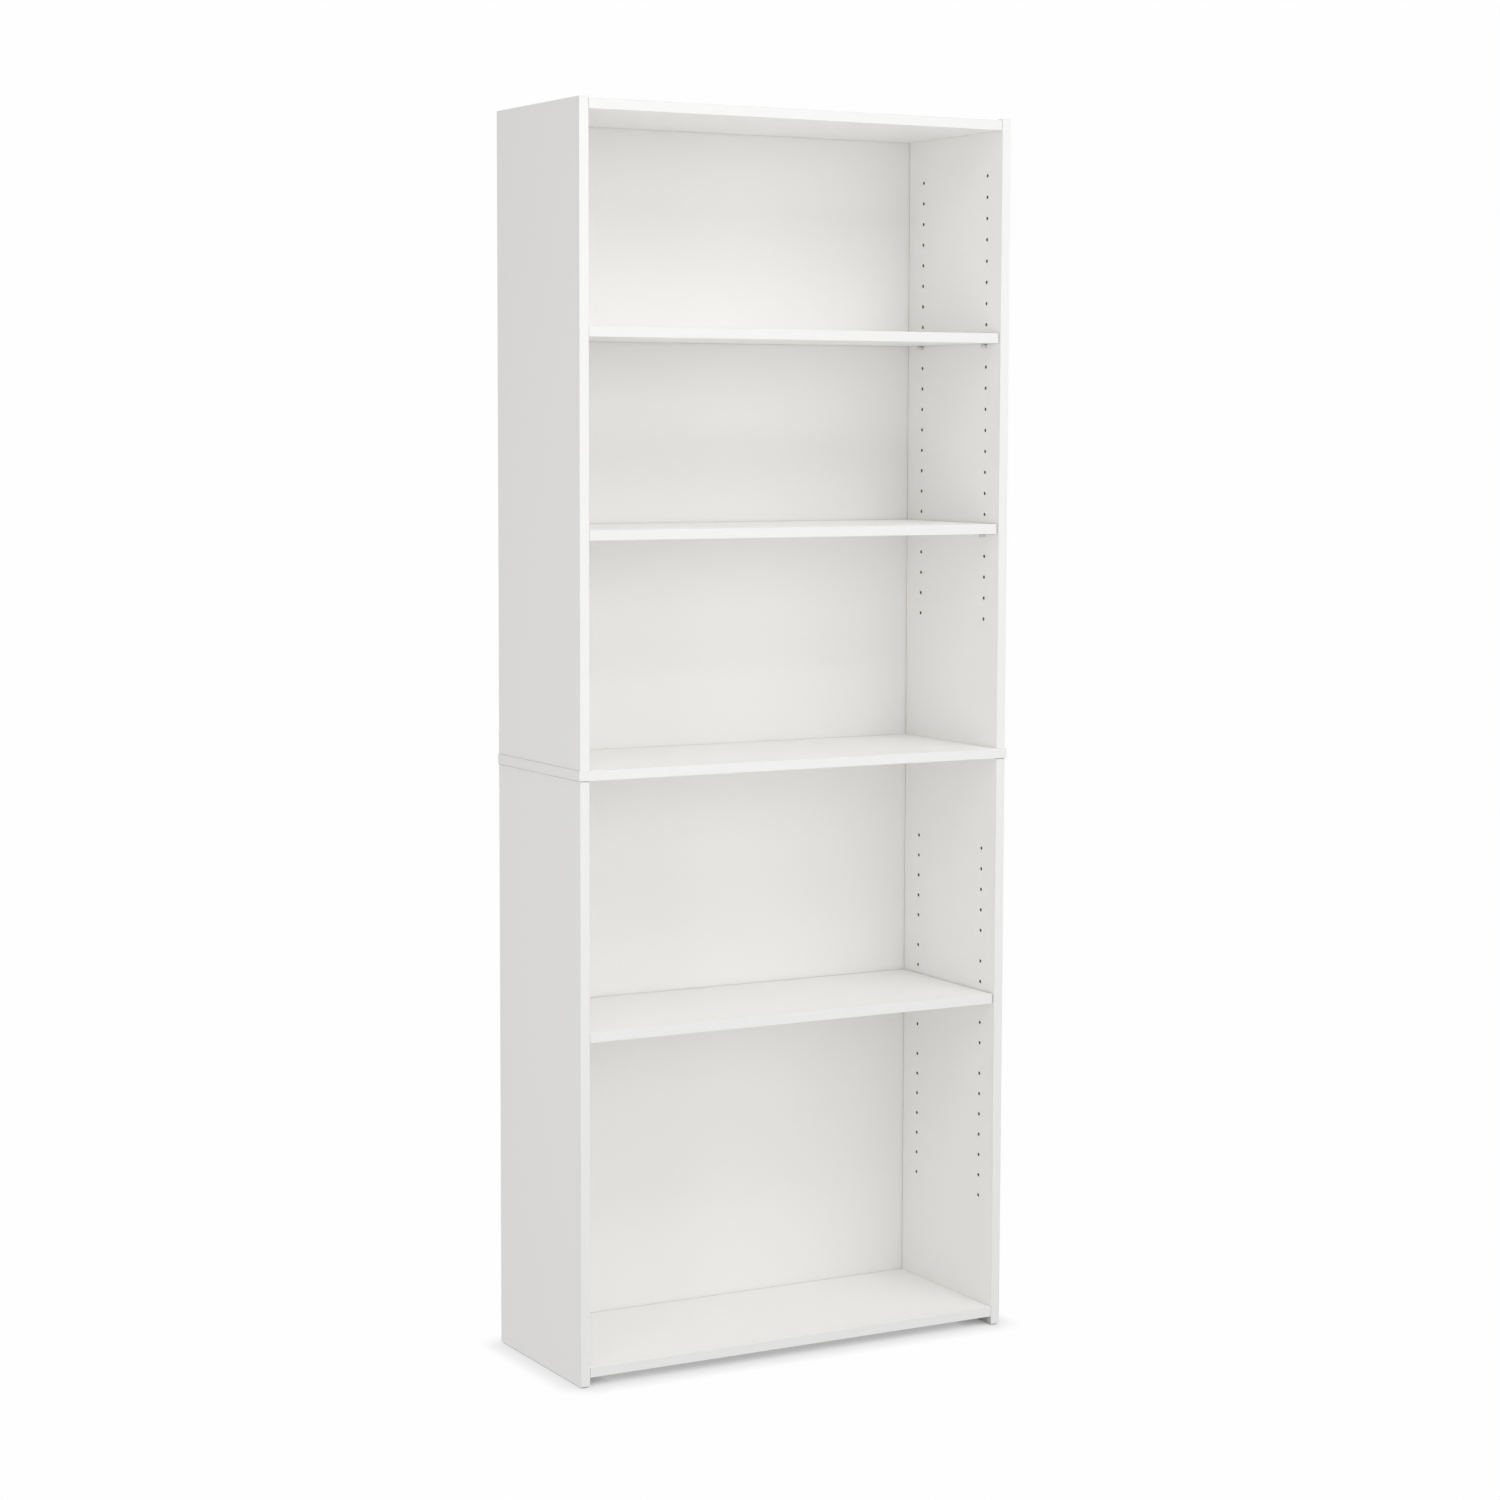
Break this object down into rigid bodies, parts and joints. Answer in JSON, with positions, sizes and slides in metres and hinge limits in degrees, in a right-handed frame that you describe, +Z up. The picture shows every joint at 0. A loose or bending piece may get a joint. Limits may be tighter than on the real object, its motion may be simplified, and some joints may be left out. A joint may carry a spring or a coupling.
{
  "type": "bookcase with adjustable shelves",
  "caption": "Tall narrow open bookcase in white laminated board: two stacked cases either side of a fixed middle shelf, with shelves adjustable on pins in drilled ends.",
  "frame": {"origin": "on the floor, under the middle of the bounding box", "axes": "+Z up, +X across the width, front facing -Y"},
  "size_m": [0.726, 0.2796, 1.85],
  "materials": {
    "laminate": "white melamine laminate on particleboard, satin",
    "hardboard_back": "white-painted hardboard, satin front face",
    "beech_dowel": "bare turned beech",
    "nickel_pin": "nickel plated",
    "zinc_fastener": "zinc plated",
    "nylon_glide": "moulded nylon"
  },
  "bodies": {
    "carcass": {"upper_end_left": "laminate", "lower_end_left": "laminate", "upper_end_right": "laminate", "lower_end_right": "laminate", "top_panel": "laminate", "bottom_panel": "laminate", "middle_shelf": "laminate", "upper_back": "hardboard_back", "lower_back": "hardboard_back", "cam_bolt_top_left_front": "zinc_fastener", "cam_lock_top_left_front": "zinc_fastener", "cam_bolt_top_left_rear": "zinc_fastener", "cam_lock_top_left_rear": "zinc_fastener", "cam_bolt_top_right_front": "zinc_fastener", "cam_lock_top_right_front": "zinc_fastener", "cam_bolt_top_right_rear": "zinc_fastener", "cam_lock_top_right_rear": "zinc_fastener", "cam_bolt_bottom_left_front": "zinc_fastener", "cam_lock_bottom_left_front": "zinc_fastener", "cam_bolt_bottom_left_rear": "zinc_fastener", "cam_lock_bottom_left_rear": "zinc_fastener", "cam_bolt_bottom_right_front": "zinc_fastener", "cam_lock_bottom_right_front": "zinc_fastener", "cam_bolt_bottom_right_rear": "zinc_fastener", "cam_lock_bottom_right_rear": "zinc_fastener", "dowel_left_front": "beech_dowel", "glide_left_front": "nylon_glide", "dowel_left_rear": "beech_dowel", "glide_left_rear": "nylon_glide", "joining_plate_left": "zinc_fastener", "plate_screw_left_1": "zinc_fastener", "plate_screw_left_2": "zinc_fastener", "plate_screw_left_3": "zinc_fastener", "plate_screw_left_4": "zinc_fastener", "dowel_right_front": "beech_dowel", "glide_right_front": "nylon_glide", "dowel_right_rear": "beech_dowel", "glide_right_rear": "nylon_glide", "joining_plate_right": "zinc_fastener", "plate_screw_right_1": "zinc_fastener", "plate_screw_right_2": "zinc_fastener", "plate_screw_right_3": "zinc_fastener", "plate_screw_right_4": "zinc_fastener"},
    "shelf_high": {"adjustable_shelf_high": "laminate"},
    "shelf_mid": {"adjustable_shelf_mid": "laminate"},
    "shelf_low": {"adjustable_shelf_low": "laminate"},
    "pin_high_left_front": {"shelf_pin_high_left_front": "nickel_pin"},
    "pin_high_left_rear": {"shelf_pin_high_left_rear": "nickel_pin"},
    "pin_high_right_front": {"shelf_pin_high_right_front": "nickel_pin"},
    "pin_high_right_rear": {"shelf_pin_high_right_rear": "nickel_pin"},
    "pin_mid_left_front": {"shelf_pin_mid_left_front": "nickel_pin"},
    "pin_mid_left_rear": {"shelf_pin_mid_left_rear": "nickel_pin"},
    "pin_mid_right_front": {"shelf_pin_mid_right_front": "nickel_pin"},
    "pin_mid_right_rear": {"shelf_pin_mid_right_rear": "nickel_pin"},
    "pin_low_left_front": {"shelf_pin_low_left_front": "nickel_pin"},
    "pin_low_left_rear": {"shelf_pin_low_left_rear": "nickel_pin"},
    "pin_low_right_front": {"shelf_pin_low_right_front": "nickel_pin"},
    "pin_low_right_rear": {"shelf_pin_low_right_rear": "nickel_pin"}
  },
  "joints": [
    {"name": "shelf_high_lift", "type": "slide", "parent": "carcass", "child": "shelf_high", "axis": [0, 0, 1], "range_m": [0, 0.288]},
    {"name": "shelf_mid_lift", "type": "slide", "parent": "carcass", "child": "shelf_mid", "axis": [0, 0, 1], "range_m": [0, 0.256]},
    {"name": "shelf_low_lift", "type": "slide", "parent": "carcass", "child": "shelf_low", "axis": [0, 0, 1], "range_m": [0, 0.352]},
    {"name": "pin_high_left_front_pull", "type": "slide", "parent": "carcass", "child": "pin_high_left_front", "axis": [1, 0, 0], "range_m": [0, 0.012]},
    {"name": "pin_high_left_rear_pull", "type": "slide", "parent": "carcass", "child": "pin_high_left_rear", "axis": [1, 0, 0], "range_m": [0, 0.012]},
    {"name": "pin_high_right_front_pull", "type": "slide", "parent": "carcass", "child": "pin_high_right_front", "axis": [-1, 0, 0], "range_m": [0, 0.012]},
    {"name": "pin_high_right_rear_pull", "type": "slide", "parent": "carcass", "child": "pin_high_right_rear", "axis": [-1, 0, 0], "range_m": [0, 0.012]},
    {"name": "pin_mid_left_front_pull", "type": "slide", "parent": "carcass", "child": "pin_mid_left_front", "axis": [1, 0, 0], "range_m": [0, 0.012]},
    {"name": "pin_mid_left_rear_pull", "type": "slide", "parent": "carcass", "child": "pin_mid_left_rear", "axis": [1, 0, 0], "range_m": [0, 0.012]},
    {"name": "pin_mid_right_front_pull", "type": "slide", "parent": "carcass", "child": "pin_mid_right_front", "axis": [-1, 0, 0], "range_m": [0, 0.012]},
    {"name": "pin_mid_right_rear_pull", "type": "slide", "parent": "carcass", "child": "pin_mid_right_rear", "axis": [-1, 0, 0], "range_m": [0, 0.012]},
    {"name": "pin_low_left_front_pull", "type": "slide", "parent": "carcass", "child": "pin_low_left_front", "axis": [1, 0, 0], "range_m": [0, 0.012]},
    {"name": "pin_low_left_rear_pull", "type": "slide", "parent": "carcass", "child": "pin_low_left_rear", "axis": [1, 0, 0], "range_m": [0, 0.012]},
    {"name": "pin_low_right_front_pull", "type": "slide", "parent": "carcass", "child": "pin_low_right_front", "axis": [-1, 0, 0], "range_m": [0, 0.012]},
    {"name": "pin_low_right_rear_pull", "type": "slide", "parent": "carcass", "child": "pin_low_right_rear", "axis": [-1, 0, 0], "range_m": [0, 0.012]}
  ]
}
